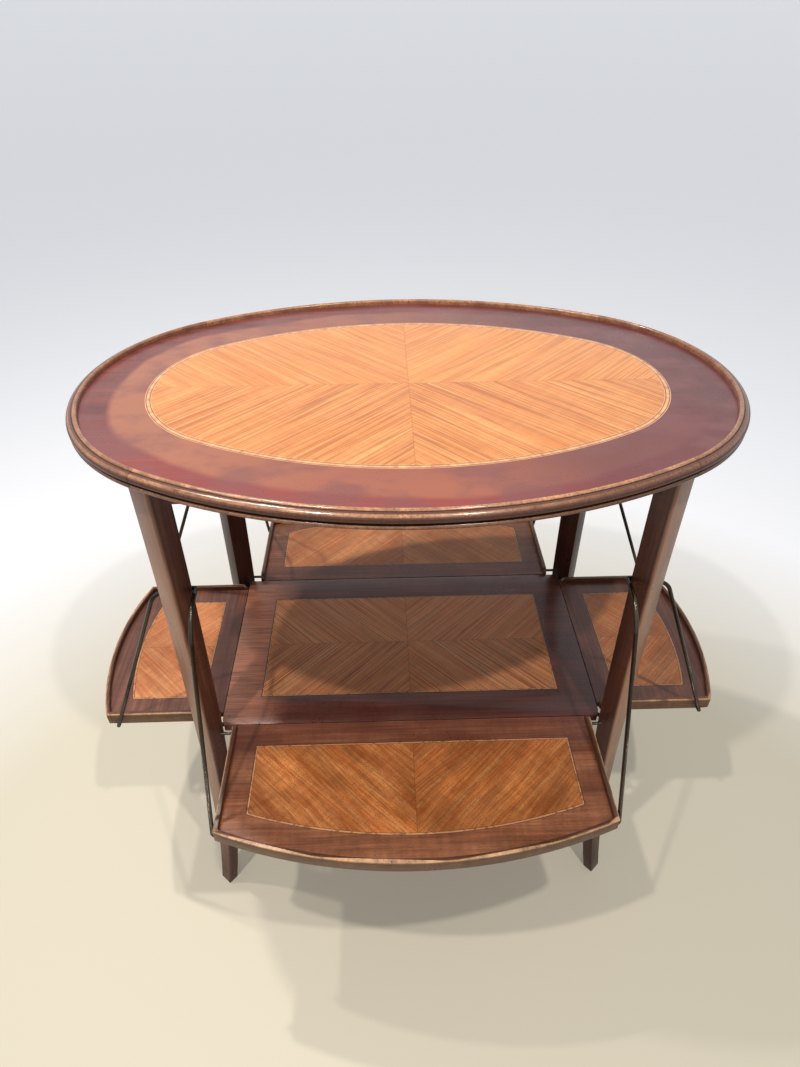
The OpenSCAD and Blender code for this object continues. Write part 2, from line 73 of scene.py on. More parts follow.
level = camera_forward.cross(Vector((0, 0, 1))).normalized()
raised = level.cross(camera_forward)
right = math.cos(camera_roll) * level + math.sin(camera_roll) * raised
up = right.cross(camera_forward)
camera_data = bpy.data.cameras.new("camera")
camera_data.sensor_fit = "VERTICAL"
camera_data.sensor_height = 24
camera_data.lens = 15.8
camera = bpy.data.objects.new("camera", camera_data)
bpy.context.scene.collection.objects.link(camera)
turned = Matrix((right, up, -camera_forward)).transposed().to_4x4()
camera.matrix_world = Matrix.Translation(camera_place) @ turned
bpy.context.scene.camera = camera
print("camera looks down by", round(math.degrees(math.asin(-camera_forward.z)), 1), "degrees")

# %% [markdown]
# ## The oval's arcs
#
# The oval is four arcs that run into each other smoothly, two round the ends and two along the sides. The
# maker bent one length of moulding for each arc, and the joints between them show. Everything that follows
# the oval is swept along these arcs, so they are written once: a centre, a radius, and where the arc starts
# and how far it turns.

# %% The oval's four arcs
half_length, half_width, end_radius = 360 * MM, 249 * MM, 208 * MM
# Where two arcs meet smoothly, the half sizes and one radius give the other radius
squares = half_length ** 2 + half_width ** 2 - 2 * half_length * end_radius
side_radius = squares / (2 * (half_width - end_radius))
end_centre = half_length - end_radius
side_centre = side_radius - half_width
joint_angle = math.atan2(side_centre, end_centre)
arcs = {
    "right": (Vector((end_centre, 0, 0)), end_radius, -joint_angle, 2 * joint_angle),
    "back": (Vector((0, -side_centre, 0)), side_radius, joint_angle, math.pi - 2 * joint_angle),
    "left": (Vector((-end_centre, 0, 0)), end_radius, math.pi - joint_angle, 2 * joint_angle),
    "front": (Vector((0, side_centre, 0)), side_radius, math.pi + joint_angle, math.pi - 2 * joint_angle),
}
joint_x = end_centre + end_radius * math.cos(joint_angle)
print("the joints lie", round(joint_x / MM), "mm beside the middle")

# %% [markdown]
# ## Colours and node helpers
#
# Colours are easiest to judge as the numbers that a screen shows, from 0 to 255. Blender mixes light in linear
# values, so one helper turns the first into the second. The others add one shader node each, or set up a group
# of nodes that several materials share, which keeps the material cells short.

# %% Helpers for colours and nodes
def screen(red, green, blue):
    """The linear colour of three screen values."""
    shares = [value / 255 for value in (red, green, blue)]
    return (*[s / 12.92 if s <= 0.04045 else ((s + 0.055) / 1.055) ** 2.4 for s in shares], 1.0)


def put(tree, kind, inputs=None, **settings):
    """Adds a node, with its settings, and sets or links its inputs by name or number."""
    node = tree.nodes.new(kind)
    for name, value in settings.items():
        setattr(node, name, value)
    for name, value in (inputs or {}).items():
        if isinstance(value, bpy.types.NodeSocket):
            tree.links.new(value, node.inputs[name])
        else:
            node.inputs[name].default_value = value
    return node


def calc(tree, operation, first, second=0.0, clamp=False):
    return put(tree, "ShaderNodeMath", {0: first, 1: second}, operation=operation, use_clamp=clamp).outputs[0]


def ramp(tree, value, low, high, to_low=0.0, to_high=1.0):
    """Spreads a value that runs from low to high over another range, and holds it at the ends."""
    inputs = {"Value": value, "From Min": low, "From Max": high, "To Min": to_low, "To Max": to_high}
    return put(tree, "ShaderNodeMapRange", inputs).outputs[0]


def tint(tree, share, first, second, blend="MIX"):
    """Mixes two colours."""
    node = put(tree, "ShaderNodeMix", {0: share, 6: first, 7: second}, data_type="RGBA", blend_type=blend)
    return node.outputs[2]


def noise(tree, vector, scale, detail=2.0, roughness=0.5):
    inputs = {"Vector": vector, "Scale": scale, "Detail": detail, "Roughness": roughness}
    return put(tree, "ShaderNodeTexNoise", inputs).outputs[0]


def stretch(tree, vector, x, y, z):
    """Multiplies the three parts of a place, which draws a pattern out or squeezes it."""
    return put(tree, "ShaderNodeVectorMath", {0: vector, 1: (x, y, z)}, operation="MULTIPLY").outputs[0]


def split(tree, place):
    """The X, Y and Z of a place."""
    return put(tree, "ShaderNodeSeparateXYZ", {0: place}).outputs


def object_place(tree):
    return tree.nodes.new("ShaderNodeTexCoord").outputs["Object"]


def carried(tree, name, output="Fac"):
    """A value that a modelled piece carries at its points."""
    return put(tree, "ShaderNodeAttribute", attribute_name=name).outputs[output]


print("screen white is", screen(255, 255, 255)[:3], "in linear values")


# %% Helpers for node groups
def new_group(name, inputs, outputs):
    """An empty node group with its sockets. An input is a name, a type and a value."""
    group = bpy.data.node_groups.new(name, "ShaderNodeTree")
    for label, kind, value in inputs:
        socket = group.interface.new_socket(label, in_out="INPUT", socket_type="NodeSocket" + kind)
        if value is not None:
            socket.default_value = value
    for label, kind in outputs:
        group.interface.new_socket(label, in_out="OUTPUT", socket_type="NodeSocket" + kind)
    start = group.nodes.new("NodeGroupInput")
    end = group.nodes.new("NodeGroupOutput")
    return group, start.outputs, end.inputs


def use_group(tree, group, inputs):
    return put(tree, "ShaderNodeGroup", inputs, node_tree=group).outputs


print("helpers for groups are ready")

# %% [markdown]
# ## The grain of the wood
#
# Real wood shows several things at once: broad stripes where the rings are cut, fine fibres along them, open
# pores like short dark dashes, and now and then a sharp dark line. All are noise that is stretched along X, in
# a space where X runs along the grain. The sharp lines are the places where a noise passes its middle value. A
# figure of soft bands across the grain makes the wood look silky, and slow clouds vary its tone. One more noise
# lets the lines waver, because no board grows straight. The effect is a group, since every wood uses it with
# its own widths.

# %% Node group for wood grain
grain_group, g_in, g_out = new_group(
    "wood grain",
    [("Grain", "Vector", None), ("Stripe Width", "Float", 8 * MM), ("Stripe Length", "Float", 0.3),
     ("Waver", "Float", 4 * MM), ("Pore Width", "Float", 0.4 * MM)],
    [("Stripes", "Float"), ("Fibres", "Float"), ("Pores", "Float"), ("Lines", "Float"), ("Figure", "Float"),
     ("Clouds", "Float")])
wander = noise(grain_group, stretch(grain_group, g_in["Grain"], 5, 16, 16), 1.0, 1.0)
shift = calc(grain_group, "MULTIPLY", calc(grain_group, "SUBTRACT", wander, 0.5), g_in["Waver"])
parts = split(grain_group, g_in["Grain"])
across = calc(grain_group, "ADD", parts[1], shift)
along = calc(grain_group, "DIVIDE", parts[0], g_in["Stripe Length"])


def grain_noise(width, length_share, detail):
    """Noise with streaks of a width, and of a share of the stripes' length."""
    place = put(grain_group, "ShaderNodeCombineXYZ", {
        0: calc(grain_group, "DIVIDE", along, length_share),
        1: calc(grain_group, "DIVIDE", across, width),
        2: calc(grain_group, "DIVIDE", parts[2], width)}).outputs[0]
    return noise(grain_group, place, 1.0, detail, 0.6)


width = g_in["Stripe Width"]
stripes = grain_noise(width, 1.0, 2.0)
fibres = grain_noise(calc(grain_group, "MULTIPLY", width, 0.22), 0.5, 2.0)
pores = grain_noise(g_in["Pore Width"], 0.02, 1.0)
rings = grain_noise(calc(grain_group, "MULTIPLY", width, 0.5), 0.9, 1.0)
off_middle = calc(grain_group, "ABSOLUTE", calc(grain_group, "SUBTRACT", rings, 0.5))
figure = noise(grain_group, stretch(grain_group, g_in["Grain"], 130, 38, 38), 1.0, 3.0)
clouds = noise(grain_group, stretch(grain_group, g_in["Grain"], 9, 22, 22), 1.0, 3.0)
for label, value in (("Stripes", ramp(grain_group, stripes, 0.36, 0.64)),
                     ("Fibres", ramp(grain_group, fibres, 0.32, 0.68)),
                     ("Pores", ramp(grain_group, pores, 0.60, 0.70)),
                     ("Lines", ramp(grain_group, off_middle, 0.01, 0.08, 1, 0)),
                     ("Figure", ramp(grain_group, figure, 0.38, 0.66)),
                     ("Clouds", ramp(grain_group, clouds, 0.35, 0.65))):
    grain_group.links.new(value, g_out[label])
print("grain group has", len(grain_group.nodes), "nodes")

# %% [markdown]
# ## Matched veneers
#
# The satinwood is laid as matched leaves: the same stripes, mirrored at each seam, so that they meet in
# arrows. Taking the absolute value of X and Y mirrors a pattern in just that way. The grain then runs at 45
# degrees, towards the middle on the top and the shelf, and the other way on the flaps. Each leaf's third
# coordinate is moved a little, so that the leaves match without being perfect copies. The group also tells
# which leaf a point lies on and whether it lies at a seam.

# %% Node group for matched veneer leaves
leaf_group, l_in, l_out = new_group(
    "matched leaves",
    [("Place", "Vector", None), ("Angle", "Float", math.radians(45)), ("Difference", "Float", 10 * MM)],
    [("Grain", "Vector"), ("Seam", "Float"), ("Back", "Float"), ("Right", "Float")])
place = split(leaf_group, l_in["Place"])
beside = calc(leaf_group, "ABSOLUTE", place[0])
behind = calc(leaf_group, "ABSOLUTE", place[1])
cosine = calc(leaf_group, "COSINE", l_in["Angle"])
sine = calc(leaf_group, "SINE", l_in["Angle"])
leaf_along = calc(leaf_group, "ADD", calc(leaf_group, "MULTIPLY", beside, cosine),
                  calc(leaf_group, "MULTIPLY", behind, sine))
leaf_across = calc(leaf_group, "SUBTRACT", calc(leaf_group, "MULTIPLY", behind, cosine),
                   calc(leaf_group, "MULTIPLY", beside, sine))
is_back = calc(leaf_group, "GREATER_THAN", place[1], 0.0)
is_right = calc(leaf_group, "GREATER_THAN", place[0], 0.0)
leaf_number = calc(leaf_group, "ADD", is_back, calc(leaf_group, "MULTIPLY", is_right, 2.0))
leaf_depth = calc(leaf_group, "MULTIPLY", leaf_number, l_in["Difference"])
nearest = calc(leaf_group, "MINIMUM", beside, behind)
leaf_place = put(leaf_group, "ShaderNodeCombineXYZ", {0: leaf_along, 1: leaf_across, 2: leaf_depth}).outputs[0]
seam = ramp(leaf_group, nearest, 0.2 * MM, 0.7 * MM, 1, 0)
for label, value in (("Grain", leaf_place), ("Seam", seam), ("Back", is_back), ("Right", is_right)):
    leaf_group.links.new(value, l_out[label])
print("leaf group has", len(leaf_group.nodes), "nodes")

# %% [markdown]
# ## Hand polish
#
# French polish is never even. Hands leave dull smudges and the cloth leaves fine lines, and both change how
# sharply the wood mirrors the room. This group gives a roughness that varies around a middle value.

# %% Node group for polish
polish_group, p_in, p_out = new_group(
    "hand polish",
    [("Place", "Vector", None), ("Middle", "Float", 0.3), ("Spread", "Float", 0.12)],
    [("Roughness", "Float")])
smudges = noise(polish_group, p_in["Place"], 14.0, 4.0, 0.6)
specks = noise(polish_group, p_in["Place"], 220.0, 2.0, 0.6)
wear = ramp(polish_group, calc(polish_group, "ADD", smudges, calc(polish_group, "MULTIPLY", specks, 0.35)),
            0.5, 0.85)
spread = calc(polish_group, "MULTIPLY", calc(polish_group, "SUBTRACT", wear, 0.5), p_in["Spread"])
polish_group.links.new(calc(polish_group, "ADD", spread, p_in["Middle"]), p_out["Roughness"])
print("polish group has", len(polish_group.nodes), "nodes")

# %% [markdown]
# ## One recipe for every wood
#
# A wood is three colours, a dark, a middle and a light one. The stripes choose between the middle and the
# light colour, and the clouds, figure, fibres, lines and pores pull it towards the dark one, each by its own
# share. The pores and fibres are also a very shallow relief, which breaks up the shine. The finish is a
# Principled shader, with a thin coat where the wood is polished most.

# %% Helper that starts a material and one that ends it
def start_material(name):
    material = bpy.data.materials.new(name)
    material.use_nodes = True
    tree = material.node_tree
    tree.nodes.clear()
    return material, tree


def end_material(tree, colour, roughness, height=None, depth=0.0, metallic=0.0, coat=0.0, specular=0.5):
    """Gives a material its shader, and a relief of some depth where a height is given."""
    shader = put(tree, "ShaderNodeBsdfPrincipled", {
        "Base Color": colour, "Roughness": roughness, "Metallic": metallic, "Coat Weight": coat,
        "Coat Roughness": 0.15, "Specular IOR Level": specular})
    if height is not None:
        bump = put(tree, "ShaderNodeBump", {"Height": height, "Strength": 0.5, "Distance": depth})
        tree.links.new(bump.outputs[0], shader.inputs["Normal"])
    output = tree.nodes.new("ShaderNodeOutputMaterial")
    tree.links.new(shader.outputs[0], output.inputs[0])


def wood_colour(tree, grain, dark, middle, light, fibre, pore, line, figure, cloud):
    """The colour of a wood and its relief, from the outputs of a grain group and the share of each."""
    colour = tint(tree, grain["Stripes"], middle, light)
    shares = {"Clouds": cloud, "Figure": figure, "Fibres": fibre, "Lines": line, "Pores": pore}
    for name, share in shares.items():
        colour = tint(tree, calc(tree, "MULTIPLY", grain[name], share), colour, dark)
    cut = calc(tree, "MAXIMUM", grain["Pores"], calc(tree, "MULTIPLY", grain["Fibres"], 0.3))
    return colour, calc(tree, "SUBTRACT", 1.0, cut)


print("polish and wood recipes are ready")

# %% [markdown]
# ## Satinwood
#
# Satinwood is a golden wood with silky stripes. On the tray top it is pale and bright under the polish. On the
# shelf it has darkened and its lines stand out. The front flap is a warm orange with clear pores, and the other
# flaps are paler. Silky leaves shine differently from each side, so the back leaves are pulled to their middle
# tone, and the flaps' right leaves are painted a touch darker.

# %% Satinwood materials
def satinwood(name, dark, middle, light, width, shares, angle, back_shade, right_shade=0.0, length=0.3,
              waver=6 * MM, pore_width=0.6 * MM, coat=0.0, specular=0.3):
    material, tree = start_material(name)
    place = object_place(tree)
    leaf = use_group(tree, leaf_group, {"Place": place, "Angle": angle, "Difference": 20 * MM})
    grain = use_group(tree, grain_group, {
        "Grain": leaf["Grain"], "Stripe Width": width, "Stripe Length": length, "Waver": waver,
        "Pore Width": pore_width})
    colour, height = wood_colour(tree, grain, dark, middle, light, *shares)
    colour = tint(tree, calc(tree, "MULTIPLY", leaf["Back"], back_shade), colour, middle)
    colour = tint(tree, calc(tree, "MULTIPLY", leaf["Right"], right_shade), colour, dark)
    colour = tint(tree, calc(tree, "MULTIPLY", leaf["Seam"], 0.4), colour, dark)
    polish = use_group(tree, polish_group, {"Place": place, "Middle": 0.34, "Spread": 0.12})
    end_material(tree, colour, polish["Roughness"], height, 0.1 * MM, coat=coat, specular=specular)
    return material


TOWARDS_MIDDLE = math.radians(45)
TOWARDS_EDGE = math.radians(-45)
# The shares are those of the fibres, pores, lines, figure and clouds
top_satinwood = satinwood("top satinwood", screen(150, 76, 34), screen(229, 150, 83), screen(240, 170, 102),
                          9 * MM, (0.44, 0.25, 0.58, 0.14, 0.15), TOWARDS_MIDDLE, 0.25, coat=0.15,
                          specular=0.42)
shelf_satinwood = satinwood("shelf satinwood", screen(112, 46, 20), screen(255, 160, 98), screen(255, 188, 130),
                            3.4 * MM, (0.50, 0.30, 0.70, 0.10, 0.10), TOWARDS_MIDDLE, 0.1)
flap_satinwood = satinwood("flap satinwood", screen(96, 40, 14), screen(242, 144, 76), screen(252, 168, 98),
                           10 * MM, (0.45, 0.95, 0.30, 0.22, 0.55), TOWARDS_EDGE, 0.1, 0.10, length=0.10,
                           waver=16 * MM, pore_width=1 * MM)
side_satinwood = satinwood("side satinwood", screen(116, 52, 26), screen(248, 154, 96), screen(252, 180, 122),
                           8 * MM, (0.40, 0.60, 0.20, 0.20, 0.45), TOWARDS_EDGE, 0.1, 0.10, length=0.16)
print("four satinwoods")

# %% [markdown]
# ## Mahogany
#
# The borders, legs and rims are mahogany, red-brown with soft stripes and many fine pores. Flat pieces take
# their grain from Object coordinates, turned so that X runs along the piece. Bent and splayed pieces carry
# their own grain as an attribute, so the lines follow the wood round a curve.

# %% Helper that makes a mahogany
def mahogany(name, dark, middle, light, along="X", shares=(0.45, 0.55, 0.35, 0.2, 0.3), rough=0.33, coat=0.0,
             width=12 * MM, finish=None):
    """A mahogany whose grain runs along an axis or the piece itself. A finish gives it its last colours."""
    material, tree = start_material(name)
    place = object_place(tree)
    turns = {"X": (0, 0, 0), "Y": (0, 0, math.radians(90))}
    if along == "piece":
        grain_place = carried(tree, "grain", "Vector")
    else:
        grain_place = put(tree, "ShaderNodeMapping", {"Vector": place, "Rotation": turns[along]}).outputs[0]
    grain = use_group(tree, grain_group, {"Grain": grain_place, "Stripe Width": width, "Stripe Length": 0.25,
                                          "Waver": 10 * MM, "Pore Width": 0.4 * MM})
    colour, height = wood_colour(tree, grain, dark, middle, light, *shares)
    if finish:
        colour = finish(tree, place, colour)
    polish = use_group(tree, polish_group, {"Place": place, "Middle": rough, "Spread": 0.14})
    end_material(tree, colour, polish["Roughness"], height, 0.08 * MM, coat=coat, specular=0.42)
    return material


print("the mahogany recipe is ready")

# %% [markdown]
# ## How each board has aged, and where light and shade are painted
#
# No two boards look alike. The tray's border is pale beside its inlay, partly faded and partly painted light
# that is strongest on the left, with a painted red sheen along the front and painted shade on the right. The
# shelf's left end is painted light where the left lamp reaches it, and its front border is darkest. The front
# and back flaps' borders are darker beside their hinges. The legs' outer faces carry a painted sheen, and the
# back and the right legs are painted darker, as shade. Each finish below paints one of these over a mahogany,
# by the place on the table, and a noise makes it patchy. The tray's border follows the oval, so its finish
# first measures how far in a point lies.

# %% Finishes of the tray's border, the shelf, the flaps and the legs
def depth_in_oval(tree, parts):
    """How far a place, given by its parts, lies inside the tray's edge, by the arcs of the oval."""
    beside, behind = calc(tree, "ABSOLUTE", parts[0]), calc(tree, "ABSOLUTE", parts[1])

    def inside(x_centre, y_centre, radius):
        x, y = calc(tree, "SUBTRACT", beside, x_centre), calc(tree, "SUBTRACT", behind, y_centre)
        away = calc(tree, "ADD", calc(tree, "MULTIPLY", x, x), calc(tree, "MULTIPLY", y, y))
        return calc(tree, "SUBTRACT", radius, calc(tree, "SQRT", away))

    by_end, by_side = inside(end_centre, 0.0, end_radius), inside(0.0, -side_centre, side_radius)
    at_end = calc(tree, "GREATER_THAN", calc(tree, "MULTIPLY", beside, side_centre / end_centre),
                  calc(tree, "ADD", behind, side_centre))
    return calc(tree, "ADD", by_side, calc(tree, "MULTIPLY", at_end, calc(tree, "SUBTRACT", by_end, by_side)))


def border_light_and_shade(tree, place, colour):
    """The tray's border: a pale ring beside the inlay, partly faded and partly painted light, a painted red
    sheen along the front, and painted shade on the right.
    """
    parts = split(tree, place)
    waver = calc(tree, "MULTIPLY", calc(tree, "SUBTRACT", noise(tree, place, 9.0, 3.0), 0.5), 24 * MM)
    depth = calc(tree, "ADD", depth_in_oval(tree, parts), waver)
    front = ramp(tree, parts[1], -0.05, -0.20)
    left = ramp(tree, parts[0], 0.22, -0.22, 0.08, 0.95)
    # Painted sheen: the border turns red along the front
    colour = tint(tree, calc(tree, "MULTIPLY", front, 0.75), colour, screen(146, 56, 48))
    # A pale ring beside the inlay, partly faded wood and partly painted light, strongest on the left and front
    depth = calc(tree, "ADD", depth, calc(tree, "MULTIPLY", front, 9 * MM))
    ring = calc(tree, "MULTIPLY", ramp(tree, depth, 39 * MM, 46 * MM),
                calc(tree, "MAXIMUM", left, calc(tree, "MULTIPLY", front, 0.7)))
    colour = tint(tree, ring, colour, screen(156, 96, 70))
    # Painted shade: the border darkens towards the right
    colour = tint(tree, ramp(tree, parts[0], 0.05, 0.17, 0, 0.65), colour, screen(82, 38, 42))
    clouds = ramp(tree, noise(tree, stretch(tree, place, 1, 1.6, 1), 17.0, 3.0, 0.55), 0.46, 0.62, 0, 0.65)
    return tint(tree, clouds, colour, screen(114, 64, 62))


def shelf_light_and_dark_front(tree, place, colour):
    """The shelf's left end is painted light where the left lamp reaches it. Its front border is the darkest."""
    parts = split(tree, place)
    # Painted light on the shelf's left end, in patches
    patches = ramp(tree, noise(tree, stretch(tree, place, 22, 430, 1), 1.0, 3.0, 0.6), 0.35, 0.62, 0.45, 1.0)
    share = calc(tree, "MULTIPLY", ramp(tree, parts[0], -0.16, -0.21), patches)
    colour = tint(tree, calc(tree, "MULTIPLY", share, 0.85), colour, screen(206, 136, 104))
    return tint(tree, ramp(tree, parts[1], -0.08, -0.12, 0, 0.45), colour, screen(60, 28, 24))


def darker_hinge(tree, place, colour):
    """The border is darker beside the hinge, in streaks."""
    behind = calc(tree, "ABSOLUTE", split(tree, place)[1])
    streaks = ramp(tree, noise(tree, stretch(tree, place, 16, 300, 1), 1.0, 3.0, 0.6), 0.35, 0.62, 0.6, 1.0)
    share = calc(tree, "MULTIPLY", ramp(tree, behind, 0.200, 0.170, 0, 0.62), streaks)
    return tint(tree, share, colour, screen(92, 40, 28))


def leg_light_and_shade(tree, place, colour):
    """The legs' outer faces carry a painted sheen. The back and the right legs are painted darker, as shade."""
    parts = split(tree, place)
    # Painted shade: the back legs and the right legs are darkened
    back, right = ramp(tree, parts[1], 0.0, 0.1, 0, 0.6), ramp(tree, parts[0], 0.0, 0.1, 0, 0.4)
    colour = tint(tree, calc(tree, "MAXIMUM", back, right), colour, screen(46, 20, 20))
    # Painted sheen: the legs' outer faces are paler, in patches
    outward = split(tree, carried(tree, "grain", "Vector"))[2]
    patches = ramp(tree, noise(tree, stretch(tree, place, 30, 30, 5), 1.0, 3.0), 0.3, 0.6, 0.45, 0.85)
    return tint(tree, calc(tree, "MULTIPLY", ramp(tree, outward, 8 * MM, 11 * MM), patches), colour,
                screen(198, 146, 116))


print("four finishes")

# %% Mahogany materials
top_mahogany = mahogany("top mahogany", screen(70, 26, 24), screen(112, 48, 42), screen(138, 66, 56),
                        width=20 * MM, coat=0.2, finish=border_light_and_shade)
shelf_mahogany = mahogany("shelf mahogany", screen(48, 22, 17), screen(108, 56, 44), screen(136, 76, 60),
                          finish=shelf_light_and_dark_front)
flap_mahogany = mahogany("flap mahogany", screen(70, 32, 18), screen(166, 100, 66), screen(198, 130, 92),
                         width=14 * MM, shares=(0.45, 0.75, 0.20, 0.25, 0.6), finish=darker_hinge)
side_mahogany = mahogany("side flap mahogany", screen(54, 27, 20), screen(122, 74, 58), screen(148, 96, 76),
                         along="Y", width=10 * MM, shares=(0.35, 0.5, 0.25, 0.2, 0.35))
rail_mahogany = mahogany("rail mahogany", screen(50, 28, 20), screen(92, 56, 42), screen(112, 72, 54),
                         rough=0.6)
leg_mahogany = mahogany("leg mahogany", screen(42, 20, 14), screen(98, 54, 42), screen(128, 78, 60),
                        along="piece", width=14 * MM, coat=0.15, finish=leg_light_and_shade)
print("six mahoganies")

# %% [markdown]
# ## Worn mouldings and rims
#
# Where hands and cloths rub, the stain wears off and paler wood shows. Where they never reach, dirt gathers.
# The moulding carries both as numbers at its points, wear and dirt, which are set when it is made. These also
# hold a painted highlight on its upper curves and painted shade low on its side and in its groove. A rim
# carries how far out a point lies, and its wear, with a painted highlight, keeps to the outer side and fades
# below the top edge. In both, a noise breaks up the wear so that it looks uneven, as rubbing leaves it.

# %% Worn mahogany materials, with painted highlight and shade
def worn_and_lit(pale, dirt_and_shade_tone, mottle, top=None):
    """A finish by the wear and painted highlight, and the grime and painted shade, that a piece carries. With
    a top, the wear fades below it and the carried grime and shade are not used.
    """
    def finish(tree, place, colour):
        patches = noise(tree, place, 60.0, 3.0, 0.6)
        fine = noise(tree, place, 360.0, 3.0, 0.65)
        rubbing = calc(tree, "MULTIPLY", calc(tree, "ADD", patches, fine), 0.5)
        wear = carried(tree, "wear")
        if top:
            below = calc(tree, "SUBTRACT", top, split(tree, place)[2])
            near_top = ramp(tree, below, 1.2 * MM, 2.6 * MM, 1, 0.15)
            wear = calc(tree, "MULTIPLY", ramp(tree, wear, 0.65, 1.0), near_top)
        # Pale wear, with a painted highlight where the piece carries one
        colour = tint(tree, calc(tree, "MULTIPLY", wear, ramp(tree, rubbing, 0.34, 0.56)), colour, pale)
        colour = tint(tree, ramp(tree, fine, 0.44, 0.62, 0, mottle), colour, dirt_and_shade_tone)
        # Dirt and painted shade, as the piece carries them
        return colour if top else tint(tree, carried(tree, "dirt_and_shade"), colour, dirt_and_shade_tone)
    return finish


# The pale is wear with a painted highlight, and the dark is dirt with painted shade
moulding_mahogany = mahogany("moulding mahogany", screen(64, 34, 22), screen(122, 74, 50), screen(150, 96, 66),
                             along="piece", width=4 * MM, shares=(0.5, 0.6, 0.3, 0.2, 0.2), rough=0.22,
                             coat=0.3, finish=worn_and_lit(screen(216, 156, 112), screen(78, 40, 23), 0.65))
rim_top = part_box("flap_front_lip")[1].z
# The rim's pale line along its outer top edge is wear with a painted highlight
rim_mahogany = mahogany("rim mahogany", screen(50, 28, 17), screen(110, 66, 43), screen(138, 87, 57),
                        along="piece", width=5 * MM, rough=0.34,
                        finish=worn_and_lit(screen(248, 192, 142), screen(50, 27, 18), 0.35, top=rim_top))
print("two worn mahoganies")

# %% [markdown]
# ## Boxwood stringing
#
# Thin lines of pale boxwood edge the inlays. The line on the tray top is a bought banding: a pale core between
# two dark lines, with pale edges. Its piece carries how far across the band each point lies. The lower lines
# are a thin pale line between dark edges, marked with small dark dashes, and their pieces carry how far each
# point lies from the inlay, in millimetres.

# %% Stringing materials
material, tree = start_material("top stringing")
band = carried(tree, "grain", "Vector")
off_centre = calc(tree, "ABSOLUTE", split(tree, band)[1])
off_line = calc(tree, "ABSOLUTE", calc(tree, "SUBTRACT", off_centre, 2.0 * MM))
dark_line = calc(tree, "LESS_THAN", off_line, 0.45 * MM)
core = ramp(tree, noise(tree, stretch(tree, band, 60, 10, 0), 1.0, 2.0), 0.35, 0.65)
band_colour = tint(tree, core, screen(204, 138, 96), screen(234, 178, 122))
dashes = noise(tree, stretch(tree, band, 130, 60, 0), 1.0, 2.0)
in_core = calc(tree, "LESS_THAN", off_centre, 1.5 * MM)
dash_share = calc(tree, "MULTIPLY", in_core, ramp(tree, dashes, 0.50, 0.60, 0, 0.45))
band_colour = tint(tree, dash_share, band_colour, screen(150, 86, 58))
band_colour = tint(tree, calc(tree, "MULTIPLY", dark_line, 0.9), band_colour, screen(70, 38, 24))
end_material(tree, band_colour, 0.34, coat=0.25)
top_stringing = material

material, tree = start_material("lower stringing")
place = object_place(tree)
marks = ramp(tree, noise(tree, place, 230.0, 2.0), 0.54, 0.62)
line_colour = tint(tree, noise(tree, place, 30.0, 2.0), screen(192, 126, 84), screen(222, 166, 118))
line_colour = tint(tree, calc(tree, "MULTIPLY", marks, 0.6), line_colour, screen(104, 58, 36))
off_middle = calc(tree, "ABSOLUTE", calc(tree, "SUBTRACT", carried(tree, "inward"), 1.5))
beside_line = ramp(tree, off_middle, 0.80, 1.10)
line_colour = tint(tree, calc(tree, "MULTIPLY", beside_line, 0.9), line_colour, screen(64, 32, 20))
end_material(tree, line_colour, 0.36, specular=0.42)
lower_stringing = material
print("two stringings")

# %% [markdown]
# ## Steel
#
# The stays are blackened steel wire that hands have rubbed to a warm grey shine. The hinge pins and the screws
# have aged to much the same tone, and the dowels that hold the shelf are dull and nearly black.

# %% Steel materials
def steel(name, dark, light, rough):
    material, tree = start_material(name)
    place = object_place(tree)
    rubbing = ramp(tree, noise(tree, place, 12.0, 3.0, 0.6), 0.35, 0.70)
    specks = ramp(tree, noise(tree, place, 420.0, 2.0), 0.60, 0.70)
    colour = tint(tree, rubbing, dark, light)
    colour = tint(tree, calc(tree, "MULTIPLY", specks, 0.25), colour, dark)
    roughness = ramp(tree, rubbing, 0, 1, rough + 0.06, rough)
    end_material(tree, colour, roughness, specks, 0.02 * MM, metallic=0.9)
    return material


blackened_wire = steel("blackened wire", screen(50, 45, 38), screen(92, 84, 72), 0.22)
black_dowel = steel("black dowel", screen(40, 38, 36), screen(70, 66, 60), 0.45)
bright_pin = steel("bright pin", screen(40, 35, 30), screen(82, 74, 64), 0.24)
print("three steels")

# %% [markdown]
# ## Helpers for making pieces
#
# A piece that stands for a CAD node is finished in the same few steps: its faces are smoothed up to an angle,
# its points carry the grain, wear and dirt that its material reads, with the painted highlight and shade that
# these hold, and it is told which body it rides on. The body is the one that its CAD node belongs to, so it is
# looked up instead of typed.

# %% Helpers that give a piece its grain and finish it
bodies = frame["record"]["behaviour"]["bodies"]
body_of_node = {node: body for body, members in bodies.items() for node in members}


def carry(piece, name, rule):
    """Stores what a rule says of each point of a piece. Grain is a vector and all else a number."""
    values = [rule(vertex.co) for vertex in piece.data.vertices]
    if name == "grain":
        attribute = piece.data.attributes.new(name, "FLOAT_VECTOR", "POINT")
        attribute.data.foreach_set("vector", [part for value in values for part in value])
    else:
        attribute = piece.data.attributes.new(name, "FLOAT", "POINT")
        attribute.data.foreach_set("value", values)
    return values


def dress(piece, name, node, material, grain=None, wear=None, dirt_and_shade=None, smooth=35):
    """Names a piece, gives it its material and grain, and puts it in its node's place."""
    bpy.ops.object.select_all(action="DESELECT")
    piece.select_set(True)
    bpy.context.view_layer.objects.active = piece
    bpy.ops.object.transform_apply(location=True, rotation=True, scale=True)
    bpy.ops.object.shade_smooth_by_angle(angle=math.radians(smooth))
    piece.name = piece.data.name = name
    piece.data.materials.clear()
    piece.data.materials.append(material)
    for label, rule in (("grain", grain), ("wear", wear), ("dirt_and_shade", dirt_and_shade)):
        if rule:
            carry(piece, label, rule)
    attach(piece, body_of_node[node])
    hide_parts(node)
    piece.select_set(False)


